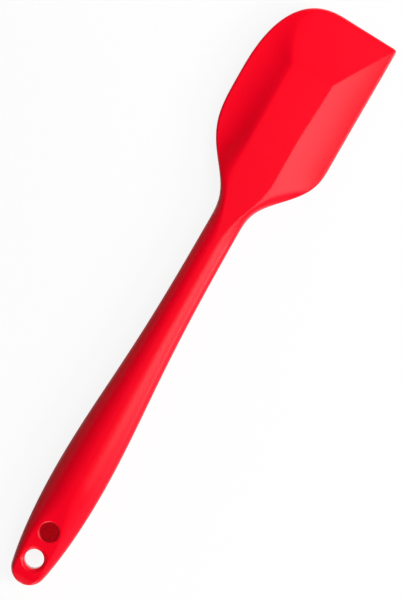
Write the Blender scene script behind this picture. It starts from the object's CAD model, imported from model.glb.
import math

import bmesh
import bpy
import numpy as np
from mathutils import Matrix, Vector


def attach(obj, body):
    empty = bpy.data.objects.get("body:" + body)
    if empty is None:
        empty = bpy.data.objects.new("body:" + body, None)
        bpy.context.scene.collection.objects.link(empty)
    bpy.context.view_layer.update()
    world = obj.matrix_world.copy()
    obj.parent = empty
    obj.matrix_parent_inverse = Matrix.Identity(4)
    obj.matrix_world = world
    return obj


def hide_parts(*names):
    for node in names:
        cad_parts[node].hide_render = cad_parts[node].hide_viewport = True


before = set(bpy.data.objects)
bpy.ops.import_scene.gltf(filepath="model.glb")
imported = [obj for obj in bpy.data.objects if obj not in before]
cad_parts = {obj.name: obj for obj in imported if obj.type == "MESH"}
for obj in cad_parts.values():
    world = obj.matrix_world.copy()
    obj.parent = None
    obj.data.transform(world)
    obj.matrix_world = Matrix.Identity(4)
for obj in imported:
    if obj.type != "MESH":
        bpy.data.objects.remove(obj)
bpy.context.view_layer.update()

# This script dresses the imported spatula: a fine mesh of the silicone, the materials, the floor,
# the lights and the camera. The spatula's frame has its origin at the centre of the hang hole,
# +Y along the handle to the blade's tip, +X to the blade's straight side and +Z out of the front
# face. "Left" is the rounded side, at -X. Sizes are in millimetres where nothing else is said,
# and those that CAD holds too are the same there, apart from CROWN_START and the two SPREADs.
MM = 0.001

# The hang hole and the handle's end. EYE_LAND is half the length of the flat round the hole, and
# PIN_STEP is the very small step that the mould's pin leaves round the hole's rim.
HOLE_RADIUS = 4.25
HOLE_ROUND = 1.3
PIN_STEP = 0.05
EYE_THICKNESS = 8.4
EYE_FLAT = 11.6
EYE_LAND = 6.0
EYE_END = 8.2
END_POWER = 0.9

# The plain round dimple on the front, with the width of its wall inside and outside its radius
DIMPLE_RADIUS = 4.6
DIMPLE_PLACE = 13.3
DIMPLE_DEPTH = 0.3
DIMPLE_WALL_IN = 0.22
DIMPLE_WALL_OUT = 0.1

# The grip and the neck. The crown is the flat strip along the middle of the handle.
GRIP_WIDTH = 23.4
GRIP_THICKNESS = 12.8
GRIP_PLACE = 38.7
GRIP_TAIL = 59.4
GRIP_FADE = 58.5
THICKNESS_FADE = 70.0
NECK_WIDTH = 13.9
NECK_THICKNESS = 8.8
CROWN_FLAT = 1.0
CROWN_START = 32.0
SIDE_SEAM = 0.6

# The blade's outline
TIP = 267.8
TIP_DROP = 1.1
STRAIGHT_REACH = 27.1
STRAIGHT_FLARE = 0.3
STRAIGHT_RUN = 49.1
STRAIGHT_BEND = 2.945
ROUND_REACH = 26.8
ROUND_RUN = 66.0
ROUND_BEND = 3.918
SHOULDER_POWER = 6
CORNER_LENGTH = 41.8
CORNER_POWER = 2.47
CORNER_ROUND = 1.3
CORNER_START = TIP - CORNER_LENGTH
CORNER_TOP = TIP - TIP_DROP
SHOULDER = CORNER_START - ROUND_RUN
SHOULDER_END = SHOULDER + STRAIGHT_RUN

# The blade's rim, raised flat, facets and cove
EDGE_HALF = 0.9
EDGE_SEAT = 0.03
FLAT_HALF = 3.6
FLAT_TOP_HALF = 3.0
FLAT_LEFT = 8.3
FLAT_RIGHT_LOW = 9.6
FLAT_RIGHT_TOP = 10.9
FLAT_TOP = TIP - 28.2
SPREAD_START = SHOULDER - 4.0
SPREAD_END = SHOULDER + 31.0
DISH = 0.55
TOP_LAND = 0.87
ROOT_EDGE = 0.72

# Places from the shoulder to its end, as shares of that length
COVE_SHARES = (0.3, 0.92)
ROOT_SHARES = (0.16, 0.45, 0.73)

# Inner control points of a flank's curve, as shares of its width and of its height
ROUND_FLANK = ((0.5523, 1.0), (1.0, 0.5523))
SOFT_COVE = ((0.2, 1.0), (0.32, 0.0))
CORNER_FALL = ((0.45, 1.0), (0.80, 0.35))

# How finely the curves are worked out. LEAST_FLANK keeps a very narrow flank's shares steady.
SLOPE_STEP = 0.05
LEAST_FLANK = 0.2
HALVINGS = 40

# The rows of points along the handle and the blade, and the columns across them. The mesh is
# merged in metres.
DIMPLE_ROWS = (EYE_END, 18.4, 0.25)
HANDLE_ROWS = (18.6, 158.0, 1.4)
BLADE_ROWS = (158.6, FLAT_TOP, 130)
FLANK_COLUMNS = 34
LAND_COLUMNS = 36
RIM_STEPS = 6
MERGE_DISTANCE = 2e-6

# The patch above the crease: its left side ends at TURN_LEVEL, and its columns crowd to the right
TOP_ROWS = 46
TURN_LEVEL = 259.6
CROWDING = 0.55
CORNER_POINTS = 800
SIDE_POINTS = 60
ROUND_POINTS = 25
LINE_GAP = 0.05

# The patch round the hang hole. Three narrow rings take the flat down the step at the rim.
END_POINTS = 40
EYE_SIDE_POINTS = 30
EYE_RINGS = 24
HOLE_RINGS = 9
BORE_RINGS = 3
RING_START = HOLE_RADIUS + HOLE_ROUND + 0.06
RING_RADII = (RING_START, RING_START - 0.02, RING_START - 0.06)
RING_DROPS = (0.0, 0.01, PIN_STEP)

# Colours, noises and surfaces of the materials. A noise has its scale per metre and its detail,
# and a bump its strength and its distance in metres. The silicone's roughness stays above 0.274:
# where it crosses that value, Blender's denoiser leaves blotches with hard edges.
NODE_SPACING = 220
SILICONE_IOR = 1.41
SILICONE_SPECULAR = 0.29
SILICONE_TONES = ((0.94, 0.0, 0.012, 1), (0.9, 0.0, 0.015, 1))
DIMPLE_TONES = ((0.16, 0.0, 0.001, 1), (0.56, 0.0, 0.006, 1))
DIMPLE_TONE_WIDTH = (0.05, 0.3)
SILICONE_CLOUD = (60.0, 1.0)
SILICONE_GRAIN = (2600.0, 2.0)
DIMPLE_STIPPLE = (900.0, 2.0)
SILICONE_ROUGHNESS = (0.276, 0.306)
SILICONE_BUMP = (0.08, 0.00004)
NYLON_TONES = ((0.012, 0.012, 0.013, 1), (0.03, 0.03, 0.033, 1))
NYLON_FIBRE = (900.0, 3.0)
NYLON_ROUGHNESS = (0.5, 0.7)
NYLON_BUMP = (0.15, 0.00003)

# The floor and the sweep that it ends in, in metres
FLOOR_GREY = (0.45, 0.45, 0.45, 1)
FLOOR_ROUGHNESS = 0.9
FLOOR_SPECULAR = 0.1
FLOOR_GLOW = 1.12
GLOW_SHARE = 0.8
FLOOR_GAP = 0.00005
SWEEP_START = 2.2
SWEEP_RADIUS = 0.8
SWEEP_TOP = 3.0
SWEEP_POINTS = 13
SWEEP_STEPS = 96
FLOOR_MERGE = 1e-5

# Each light's azimuth, from the blade's tip towards its straight side, and elevation in degrees,
# its distance and size in metres, its watts, and the place along Y that it looks at, in metres
SOFTBOXES = {
    "softbox_side": (73, 23, 1.26, 0.4, 15.0, 0.14),
    "softbox_top": (73, 59, 0.92, 0.5, 4.2, 0.165),
    "softbox_tip": (350, 17, 0.5, 0.24, 0.55, 0.03),
    "softbox_end": (145, 18, 0.55, 0.3, 2.4, 0.01),
}
WORLD_LEVEL = 0.03

# The camera looks straight down: lens and sensor in millimetres, place in metres, turn in degrees
CAMERA_LENS = 170
CAMERA_SENSOR = 36
CAMERA_PLACE = (0.0072, 0.1319, 1.218)
CAMERA_TURN = 29.69


def ease(value, start, end):
    share = np.clip((np.asarray(value, float) - start) / (end - start), 0, 1)
    return share * share * (3 - 2 * share)


def mix(low, high, share):
    return low + (high - low) * share


def grip_half_width(y):
    run = np.asarray(y, float) - GRIP_PLACE
    low = GRIP_WIDTH / 2 * np.sqrt(np.maximum(1 - (run / GRIP_TAIL) ** 2, 0))
    high = mix(NECK_WIDTH, GRIP_WIDTH, np.exp(-((run / GRIP_FADE) ** 2))) / 2
    return np.where(run < 0, low, high)


def shoulder_share(y, length, bend):
    # How far one side of the outline has spread from the neck to the blade.
    share = np.clip((np.asarray(y, float) - SHOULDER) / length, 0, 1)
    return (1 - (1 - share) ** bend) ** SHOULDER_POWER


def straight_reach(y):
    spread = shoulder_share(y, STRAIGHT_RUN, STRAIGHT_BEND)
    lean = STRAIGHT_FLARE * ease(y, SHOULDER_END, CORNER_TOP)
    return grip_half_width(y) + (STRAIGHT_REACH - NECK_WIDTH / 2) * spread + lean


def round_reach(y, inset=0.0):
    # The rounded side, drawn in by an inset on the blade.
    y = np.asarray(y, float)
    spread = shoulder_share(y, ROUND_RUN, ROUND_BEND)
    reach = grip_half_width(y) + (ROUND_REACH - NECK_WIDTH / 2) * spread
    rise = np.clip((y - CORNER_START) / (CORNER_LENGTH - inset), 0, 1)
    return (reach - inset) * (1 - rise**CORNER_POWER) ** (1 / CORNER_POWER)


def end_circle():
    # The circle round which the handle's end is drawn in.
    step = EYE_LAND / 2
    slope = (grip_half_width(-EYE_LAND + step) - grip_half_width(-EYE_LAND - step)) / (2 * step)
    width = grip_half_width(-EYE_LAND)
    radius = width * np.sqrt(1 + slope * slope)
    return -EYE_LAND + width * slope, radius, math.atan2(1, float(slope)), width


END_CENTRE, END_RADIUS, END_TURN, END_WIDTH = end_circle()


def end_turn(y):
    # How far round the end's circle a place along the handle is.
    return np.arccos(np.clip((END_CENTRE - y) / END_RADIUS, -1, 1))


def half_thickness(y):
    y = np.asarray(y, float)
    run = y - GRIP_PLACE
    low = mix(EYE_THICKNESS, GRIP_THICKNESS, ease(y, EYE_LAND, GRIP_PLACE)) / 2
    high = mix(NECK_THICKNESS, GRIP_THICKNESS, np.exp(-((run / THICKNESS_FADE) ** 2))) / 2
    high = high + (FLAT_HALF - NECK_THICKNESS / 2) * ease(y, SHOULDER, SHOULDER_END)
    high = high - (FLAT_HALF - FLAT_TOP_HALF) * ease(y, SHOULDER_END, FLAT_TOP)
    end = np.sin(np.pi / 2 * np.clip(end_turn(y) / END_TURN, 0, 1)) ** END_POWER
    return np.where(run < 0, low, high) * np.where(y < -EYE_LAND, end, 1)


def tuck(y):
    # How far the blade's outline is drawn in to make room for its rounded rim.
    return EDGE_HALF * ease(y, SHOULDER, SHOULDER_END)


def lands(y):
    # Half widths of the flat strip, left and right: the crown that widens into the raised flat.
    to_flat = ease(y, SPREAD_START, SPREAD_END)
    crown = mix(EYE_FLAT, CROWN_FLAT, ease(y, EYE_LAND, CROWN_START)) / 2
    lean = ease(y, SHOULDER_END, FLAT_TOP)
    right = mix(crown, mix(FLAT_RIGHT_LOW, FLAT_RIGHT_TOP, lean), to_flat)
    return mix(crown, FLAT_LEFT, to_flat), right


def root_share(y):
    # How far the neck's thickness runs out to the edge, at the foot of the rounded side.
    start, full, end = (mix(SHOULDER, SHOULDER_END, share) for share in ROOT_SHARES)
    return ease(y, start, full) * (1 - ease(y, full, end))


def flank_height(out, left_points, right_points, side):
    # Height share of a flank at a share of its width, from the control points of its curve.
    first = [np.where(side > 0, b, a) for a, b in zip(left_points[0], right_points[0])]
    second = [np.where(side > 0, b, a) for a, b in zip(left_points[1], right_points[1])]
    low = np.zeros_like(out)
    high = np.ones_like(out)
    for _ in range(HALVINGS):
        t = (low + high) / 2
        x = 3 * (1 - t) ** 2 * t * first[0] + 3 * (1 - t) * t * t * second[0] + t**3
        low = np.where(x < out, t, low)
        high = np.where(x < out, high, t)
    t = (low + high) / 2
    return (1 - t) ** 3 + 3 * (1 - t) ** 2 * t * first[1] + 3 * (1 - t) * t * t * second[1]


def mixed_points(low, high, share, shape):
    # The control points between two sets of them, one value for each place.
    pairs = [list(zip(*points)) for points in zip(low, high)]
    return [[np.broadcast_to(mix(*pair, share), shape) for pair in row] for row in pairs]


def height(x, y):
    # Half thickness of the spatula at any place inside its outline.
    x = np.asarray(x, float)
    y = np.asarray(y, float)
    side = np.where(x >= 0, 1, -1)
    to_blade = ease(y, SHOULDER, SHOULDER_END)
    to_cove = ease(y, *(mix(SHOULDER, SHOULDER_END, share) for share in COVE_SHARES))
    # Above the crease the facet falls to the rim, which slopes from the tip to the square corner.
    rim_top = mix(TIP, CORNER_TOP, np.clip(x / STRAIGHT_REACH, 0, 1)) - EDGE_HALF
    rise = np.clip((y - FLAT_TOP) / (rim_top - FLAT_TOP), 0, 1)
    fall = (1 - DISH) * (1 - rise) + DISH * (1 - rise) ** 2
    rim = mix(SIDE_SEAM / 2, EDGE_HALF - EDGE_SEAT, to_blade)
    crest = half_thickness(np.minimum(y, FLAT_TOP))
    top = np.where(y > FLAT_TOP, mix(rim, FLAT_TOP_HALF, fall), crest)
    rim = np.minimum(rim, top / 2 + rim / 2)
    left_reach = round_reach(y, tuck(y))
    right_reach = straight_reach(y) - tuck(y)
    left_land, right_land = lands(y)
    left_land = mix(left_land, left_reach * TOP_LAND, rise)
    right_land = mix(right_land, right_reach, rise)
    # The handle's end follows its circle.
    at_end = y < -EYE_LAND
    end_reach = END_RADIUS * np.sin(end_turn(y))
    end_land = EYE_FLAT / 2 * end_reach / END_WIDTH
    reach = np.where(at_end, end_reach, np.where(side > 0, right_reach, left_reach))
    land = np.where(at_end, end_land, np.where(side > 0, right_land, left_land))
    out = np.clip((np.abs(x) - land) / np.maximum(reach - land, LEAST_FLANK), 0, 1)
    # On the straight side the facet is a shallow parabola.
    dish = DISH * (1 - rise) / (1 - DISH * rise)
    right_cove = ((1 / 3, (2 - dish) / 3), (2 / 3, (1 - dish) / 3))
    left_cove = mixed_points(SOFT_COVE, CORNER_FALL, rise, x.shape)
    left = mixed_points(ROUND_FLANK, left_cove, to_cove, x.shape)
    right = mixed_points(ROUND_FLANK, right_cove, to_cove, x.shape)
    up = flank_height(out, left, right, side)
    rim = np.where(side > 0, rim, mix(rim, top * ROOT_EDGE, root_share(y)))
    return np.where(out > 0, mix(rim, top, up), top)


def dimple(x, y):
    away = np.hypot(x, y - DIMPLE_PLACE)
    wall = ease(away, DIMPLE_RADIUS - DIMPLE_WALL_IN, DIMPLE_RADIUS + DIMPLE_WALL_OUT)
    return DIMPLE_DEPTH * (1 - wall)


def unit(vectors):
    return vectors / np.linalg.norm(vectors, axis=-1, keepdims=True)


def side_points(y, reach, sign):
    # Points of one side of the outline, with the directions that point out of it.
    slope = (reach(y + SLOPE_STEP) - reach(y - SLOPE_STEP)) / (2 * SLOPE_STEP)
    outward = unit(np.stack([np.full_like(y, sign), -slope], 1))
    return np.stack([sign * reach(y), y], 1), outward


class Skin:
    # Collects the faces of the silicone's surface, in front and behind.
    def __init__(self):
        self.points = []
        self.faces = []
        self.count = 0

    def add(self, x, y, z):
        # A grid of places: it is added in front and, mirrored, behind.
        rows, columns = x.shape
        for sign, depth in ((1, dimple(x, y)), (-1, 0)):
            grid = np.stack([x, y, sign * (z - depth)], 2).reshape(-1, 3) * MM
            start = np.arange(rows - 1)[:, None] * columns + np.arange(columns - 1) + self.count
            quads = np.stack([start, start + 1, start + columns + 1, start + columns], 2)
            self.points.append(grid)
            self.faces.append(quads.reshape(-1, 4))
            self.count += rows * columns

    def rim(self, points, normals, z, reach):
        # The rounded rim outside a line of places, down to the middle of the thickness.
        turns = np.linspace(0, np.pi / 2, RIM_STEPS + 1)[:, None]
        x = points[:, 0] + normals[:, 0] * reach * np.sin(turns)
        y = points[:, 1] + normals[:, 1] * reach * np.sin(turns)
        self.add(x, y, z * np.cos(turns))

    def mesh(self, name):
        mesh = bpy.data.meshes.new(name)
        points = np.concatenate(self.points)
        faces = np.concatenate(self.faces)
        mesh.from_pydata(points.tolist(), [], faces.tolist())
        shape = bmesh.new()
        shape.from_mesh(mesh)
        bmesh.ops.remove_doubles(shape, verts=shape.verts, dist=MERGE_DISTANCE)
        bmesh.ops.recalc_face_normals(shape, faces=shape.faces)
        shape.to_mesh(mesh)
        shape.free()
        mesh.shade_smooth()
        return mesh


def flank_shares(y):
    # Column places across a flank, closer together towards the edge on the round handle.
    share = np.linspace(0, 1, FLANK_COLUMNS + 1)[None, :]
    return mix(np.sin(share * np.pi / 2), share, ease(y, SHOULDER, SHOULDER_END)[:, None])


def body_strip(skin):
    # The handle and the blade, row by row, up to the crease at the top of the raised flat.
    handle_y = [np.arange(*DIMPLE_ROWS), np.arange(*HANDLE_ROWS)]
    y = np.concatenate([*handle_y, np.linspace(*BLADE_ROWS)])
    left, left_out = side_points(y, round_reach, -1.0)
    right, right_out = side_points(y, straight_reach, 1.0)
    left_in = left - left_out * tuck(y)[:, None]
    right_in = right - right_out * tuck(y)[:, None]
    left_land, right_land = lands(y)
    flank = flank_shares(y)
    middle = np.linspace(0, 1, LAND_COLUMNS + 1)[None, :]
    left_x = mix(-left_land[:, None], left_in[:, :1], flank)[:, ::-1]
    left_y = mix(y[:, None], left_in[:, 1:], flank)[:, ::-1]
    land_x = mix(-left_land[:, None], right_land[:, None], middle)
    land_y = np.repeat(y[:, None], LAND_COLUMNS + 1, 1)
    right_x = mix(right_land[:, None], right_in[:, :1], flank)
    right_y = mix(y[:, None], right_in[:, 1:], flank)
    x = np.concatenate([left_x, land_x[:, 1:-1], right_x], 1)
    rows = np.concatenate([left_y, land_y[:, 1:-1], right_y], 1)
    z = height(x, rows)
    skin.add(x, rows, z)
    skin.rim(left_in, left_out, z[:, 0], tuck(y))
    skin.rim(right_in, right_out, z[:, -1], tuck(y))
    return x[0], np.stack([x[-1], rows[-1]], 1)


def coons(bottom, top, left, right):
    # A net of places that fills the room between four lines.
    u = np.linspace(0, 1, len(bottom))[None, :, None]
    v = np.linspace(0, 1, len(left))[:, None, None]
    net = mix(bottom[None], top[None], v) + mix(left[:, None], right[:, None], u)
    ends = mix(mix(bottom[0], bottom[-1], u), mix(top[0], top[-1], u), v)
    return net - ends


def top_outline():
    # The outline above the crease in four lines: the rounded corner up to the tip, the top edge,
    # the small round of the square corner, and the straight side from the crease upwards.
    turn = np.linspace(0, np.pi / 2, CORNER_POINTS)
    power = 2 / CORNER_POWER
    x = -ROUND_REACH * np.cos(turn) ** power
    y = CORNER_START + CORNER_LENGTH * np.sin(turn) ** power
    corner = np.stack([x, y], 1)
    start, _ = side_points(np.array([FLAT_TOP]), round_reach, -1.0)
    corner = np.concatenate([start, corner[corner[:, 1] > FLAT_TOP], [[0.0, TIP]]])
    peak = np.array([float(straight_reach(CORNER_TOP)), CORNER_TOP])
    side_y = np.linspace(FLAT_TOP, CORNER_TOP, SIDE_POINTS)
    side, _ = side_points(side_y, straight_reach, 1.0)
    top_run = unit(peak - corner[-1])
    side_run = unit(side[-1] - side[-2])
    bend = math.acos(float(-top_run @ side_run))
    trim = CORNER_ROUND / math.tan(bend / 2)
    centre = peak + unit(-top_run - side_run) * CORNER_ROUND / math.sin(bend / 2)
    begin = peak - top_run * trim
    finish = peak - side_run * trim
    first = math.atan2(*(begin - centre)[::-1])
    last = math.atan2(*(finish - centre)[::-1])
    turns = np.linspace(first, last, ROUND_POINTS)
    small_round = centre + CORNER_ROUND * np.stack([np.cos(turns), np.sin(turns)], 1)
    edge = mix(corner[-1], begin, np.linspace(0, 1, SIDE_POINTS)[:, None])
    return corner, edge, small_round, side[side[:, 1] < finish[1] - LINE_GAP]


def top_patch(skin, crease):
    # The blade above the crease: a net up to the top edge, and a wedge beside the straight side.
    corner, edge, small_round, side = top_outline()
    whole = np.concatenate([corner[:-1], edge[:-1], small_round, side[::-1]])
    along = np.gradient(whole, axis=0)
    outward = unit(np.stack([-along[:, 1], along[:, 0]], 1))
    inner = whole - outward * EDGE_HALF
    # Lengths along the outline: up the rounded corner, over the tip, down the straight side.
    run = np.concatenate([[0], np.cumsum(np.linalg.norm(np.diff(whole, axis=0), axis=1))])
    turn_place = run[np.argmin(np.abs(corner[:, 1] - TURN_LEVEL))]
    corner_place = run[len(corner) - 1 + len(edge) - 1 + ROUND_POINTS // 2]

    def pick(places):
        at = np.stack([np.interp(places, run, inner[:, k]) for k in (0, 1)], 1)
        way = np.stack([np.interp(places, run, outward[:, k]) for k in (0, 1)], 1)
        return at, unit(way)

    share = np.linspace(0, 1, TOP_ROWS + 1)
    ridge_column = FLANK_COLUMNS + LAND_COLUMNS
    column_share = np.linspace(0, 1, ridge_column + 1)
    crowded = mix(column_share, np.sin(column_share * np.pi / 2), CROWDING)
    left, left_way = pick(share * turn_place)
    right, right_way = pick(run[-1] + (corner_place - run[-1]) * share)
    top, top_way = pick(mix(turn_place, corner_place, crowded))
    left[0] = crease[0]
    right[0] = crease[-1]
    ridge = mix(crease[ridge_column], top[-1], share[:, None])
    net = coons(crease[: ridge_column + 1], top, left, ridge)
    wedge_top = np.repeat(top[-1:], FLANK_COLUMNS + 1, 0)
    wedge = coons(crease[ridge_column:], wedge_top, ridge, right)
    for patch in (net, wedge):
        x, y = patch[..., 0], patch[..., 1]
        skin.add(x, y, height(x, y))
    for line, way in ((left, left_way), (top, top_way), (right, right_way)):
        z = height(line[:, 0], line[:, 1])
        skin.rim(line, way, z, np.full(len(line), EDGE_HALF))


def eye_patch(skin, row_x):
    # The handle's end, in rays from the hang hole's rim to the outline and to the first row.
    turn = np.linspace(0, END_TURN, END_POINTS)
    cap = np.stack([END_RADIUS * np.sin(turn), END_CENTRE - END_RADIUS * np.cos(turn)], 1)
    side_y = np.linspace(-EYE_LAND, EYE_END, EYE_SIDE_POINTS)[1:]
    side = np.stack([grip_half_width(side_y), side_y], 1)
    half = np.concatenate([cap, side])
    outline = np.concatenate([half[::-1] * [-1, 1], half[1:]])
    row = np.stack([row_x[::-1], np.full_like(row_x, EYE_END)], 1)
    loop = np.concatenate([outline[:-1], row])
    angle = np.arctan2(loop[:, 1], loop[:, 0])
    ring = np.stack([np.cos(angle), np.sin(angle)], 1)
    share = np.sin(np.linspace(0, 1, EYE_RINGS) * np.pi / 2)[:, None, None]
    net = mix(ring * RING_START, loop, share)
    x, y = net[..., 0], net[..., 1]
    skin.add(x, y, height(x, y))
    # The handle's side is closed down to the middle of its thickness.
    edge = height(outline[:, 0], outline[:, 1])
    skin.rim(outline, unit(outline), edge, np.zeros(len(outline)))
    # The hang hole has rounded rims and a straight bore between them.
    land = EYE_THICKNESS / 2
    turns = np.linspace(0, np.pi / 2, HOLE_RINGS)[1:]
    round_radii = HOLE_RADIUS + HOLE_ROUND * (1 - np.sin(turns))
    round_levels = land - PIN_STEP - HOLE_ROUND * (1 - np.cos(turns))
    bore_levels = np.linspace(round_levels[-1], 0, BORE_RINGS + 1)[1:]
    bore_radii = np.full(BORE_RINGS, HOLE_RADIUS)
    radii = np.concatenate([RING_RADII, round_radii, bore_radii])[:, None]
    levels = np.concatenate([land - np.array(RING_DROPS), round_levels, bore_levels])
    levels = np.repeat(levels[:, None], len(ring), 1)
    skin.add(radii * ring[:, 0], radii * ring[:, 1], levels)


def silicone_body():
    skin = Skin()
    first_x, crease = body_strip(skin)
    top_patch(skin, crease)
    eye_patch(skin, first_x)
    body = bpy.data.objects.new("silicone_body", skin.mesh("silicone_body"))
    bpy.context.scene.collection.objects.link(body)
    return body


def feed(tree, value, socket):
    # Links an output to a socket, or sets the socket to a constant.
    if isinstance(value, bpy.types.NodeSocket):
        tree.links.new(value, socket)
    else:
        socket.default_value = value


def node(tree, kind, *ordered, **named):
    # A new node. The ordered values go to its sockets in turn, and the named ones to its
    # settings or to the sockets of that name.
    made = tree.nodes.new(kind)
    made.location = (-NODE_SPACING * len(tree.nodes), 0)
    for key, value in named.items():
        if hasattr(made, key):
            setattr(made, key, value)
        else:
            feed(tree, value, made.inputs[key.replace("_", " ")])
    for value, socket in zip(ordered, made.inputs):
        feed(tree, value, socket)
    return made


def new_material(name):
    material = bpy.data.materials.new(name)
    material.use_nodes = True
    tree = material.node_tree
    return material, tree, tree.nodes["Principled BSDF"]


def noise(tree, where, scale, detail):
    made = node(tree, "ShaderNodeTexNoise", Vector=where, Scale=scale, Detail=detail)
    return made.outputs["Fac"]


def blend(tree, low, high, share):
    # A colour between two colours or outputs.
    made = node(tree, "ShaderNodeMix", data_type="RGBA", A=low, B=high, Factor=share)
    return made.outputs["Result"]


def finish_surface(tree, shader, colour, gloss, roughness, relief, bump):
    # Gives the shader its colour, a roughness that varies, and a fine relief.
    low, high = roughness
    strength, distance = bump
    rough = node(tree, "ShaderNodeMapRange", Value=gloss, To_Min=low, To_Max=high)
    bumps = node(tree, "ShaderNodeBump", Strength=strength, Distance=distance, Height=relief)
    feed(tree, colour, shader.inputs["Base Color"])
    feed(tree, rough.outputs["Result"], shader.inputs["Roughness"])
    feed(tree, bumps.outputs["Normal"], shader.inputs["Normal"])


def dimple_mark(tree, where):
    # 1 on the dimple's floor and 0 outside it.
    centre = (0, DIMPLE_PLACE * MM, EYE_THICKNESS / 2 * MM)
    away = node(tree, "ShaderNodeVectorMath", where, centre, operation="SUBTRACT")
    far = node(tree, "ShaderNodeVectorMath", away.outputs["Vector"], operation="LENGTH")
    beyond, within = DIMPLE_TONE_WIDTH
    mark = node(
        tree,
        "ShaderNodeMapRange",
        interpolation_type="SMOOTHSTEP",
        Value=far.outputs["Value"],
        From_Min=(DIMPLE_RADIUS + beyond) * MM,
        From_Max=(DIMPLE_RADIUS - within) * MM,
    )
    return mark.outputs["Result"]


def silicone_material():
    # Satin red with a slow change of tone and gloss, and a darker, stippled dimple.
    material, tree, shader = new_material("silicone_red")
    shader.inputs["IOR"].default_value = SILICONE_IOR
    shader.inputs["Specular IOR Level"].default_value = SILICONE_SPECULAR
    where = node(tree, "ShaderNodeTexCoord").outputs["Object"]
    cloud = noise(tree, where, *SILICONE_CLOUD)
    grain = noise(tree, where, *SILICONE_GRAIN)
    tone = blend(tree, *SILICONE_TONES, cloud)
    dark = blend(tree, *DIMPLE_TONES, noise(tree, where, *DIMPLE_STIPPLE))
    colour = blend(tree, tone, dark, dimple_mark(tree, where))
    finish_surface(tree, shader, colour, cloud, SILICONE_ROUGHNESS, grain, SILICONE_BUMP)
    return material


def nylon_material():
    material, tree, shader = new_material("nylon_dark")
    where = node(tree, "ShaderNodeTexCoord").outputs["Object"]
    fibre = noise(tree, where, *NYLON_FIBRE)
    tone = blend(tree, *NYLON_TONES, fibre)
    finish_surface(tree, shader, tone, fibre, NYLON_ROUGHNESS, fibre, NYLON_BUMP)
    return material


def seen_share(tree):
    # 1 where the camera, a reflection or clear glass looks, and 0 for the light itself.
    path = node(tree, "ShaderNodeLightPath").outputs
    rays = (path["Is Camera Ray"], path["Is Glossy Ray"])
    both = node(tree, "ShaderNodeMath", *rays, operation="MAXIMUM").outputs["Value"]
    clear = path["Is Transmission Ray"]
    return node(tree, "ShaderNodeMath", both, clear, operation="MAXIMUM").outputs["Value"]


def floor_material():
    # The camera sees the floor nearly white, as in the photograph, with a faint shadow.
    material, tree, shader = new_material("floor_white")
    shader.inputs["Base Color"].default_value = FLOOR_GREY
    shader.inputs["Roughness"].default_value = FLOOR_ROUGHNESS
    shader.inputs["Specular IOR Level"].default_value = FLOOR_SPECULAR
    glow = node(tree, "ShaderNodeEmission", Strength=FLOOR_GLOW).outputs["Emission"]
    share = node(tree, "ShaderNodeMath", seen_share(tree), GLOW_SHARE, operation="MULTIPLY")
    parts = (share.outputs["Value"], shader.outputs["BSDF"], glow)
    surface = node(tree, "ShaderNodeMixShader", *parts).outputs["Shader"]
    feed(tree, surface, tree.nodes["Material Output"].inputs["Surface"])
    return material


def lay_floor():
    # A round floor that sweeps up into a backdrop all round, so that it is pale from every side.
    turns = np.linspace(0, np.pi / 2, SWEEP_POINTS)
    radii = [0.0, *(SWEEP_START + SWEEP_RADIUS * np.sin(turns)), SWEEP_START + SWEEP_RADIUS]
    levels = [0.0, *(SWEEP_RADIUS * (1 - np.cos(turns))), SWEEP_TOP]
    base = -GRIP_THICKNESS / 2 * MM - FLOOR_GAP
    shape = bmesh.new()
    profile = [shape.verts.new((r, 0, base + z)) for r, z in zip(radii, levels)]
    edges = [shape.edges.new(pair) for pair in zip(profile, profile[1:])]
    bmesh.ops.spin(
        shape,
        geom=profile + edges,
        axis=(0, 0, 1),
        cent=(0, 0, 0),
        angle=2 * math.pi,
        steps=SWEEP_STEPS,
    )
    bmesh.ops.remove_doubles(shape, verts=shape.verts, dist=FLOOR_MERGE)
    bmesh.ops.recalc_face_normals(shape, faces=shape.faces)
    mesh = bpy.data.meshes.new("floor")
    shape.to_mesh(mesh)
    shape.free()
    mesh.shade_smooth()
    floor = bpy.data.objects.new("floor", mesh)
    bpy.context.scene.collection.objects.link(floor)
    mesh.materials.append(floor_material())


def softbox(name, azimuth, elevation, distance, size, watts, aim_y):
    turn, rise = math.radians(azimuth), math.radians(elevation)
    flat = math.cos(rise)
    way = Vector((flat * math.sin(turn), flat * math.cos(turn), math.sin(rise)))
    data = bpy.data.lights.new(name, "AREA")
    data.shape = "SQUARE"
    data.size = size
    data.energy = watts
    light = bpy.data.objects.new(name, data)
    light.location = Vector((0, aim_y, 0)) + way * distance
    light.rotation_euler = way.to_track_quat("Z", "Y").to_euler()
    light.visible_camera = False
    bpy.context.scene.collection.objects.link(light)


def light_scene():
    for name, values in SOFTBOXES.items():
        softbox(name, *values)
    world = bpy.data.worlds.new("studio")
    bpy.context.scene.world = world
    world.use_nodes = True
    back = world.node_tree.nodes["Background"]
    back.inputs["Color"].default_value = (1, 1, 1, 1)
    back.inputs["Strength"].default_value = WORLD_LEVEL


def place_camera():
    data = bpy.data.cameras.new("camera")
    data.lens = CAMERA_LENS
    data.sensor_width = CAMERA_SENSOR
    data.sensor_fit = "AUTO"
    camera = bpy.data.objects.new("camera", data)
    camera.location = CAMERA_PLACE
    camera.rotation_euler = (0, 0, math.radians(CAMERA_TURN))
    bpy.context.scene.collection.objects.link(camera)
    bpy.context.scene.camera = camera


body = silicone_body()
body.data.materials.append(silicone_material())
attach(body, "root")
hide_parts("silicone_overmould")
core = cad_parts["nylon_core"]
core.data.materials.clear()
core.data.materials.append(nylon_material())

lay_floor()
light_scene()
place_camera()
bpy.context.scene.view_settings.view_transform = "Standard"
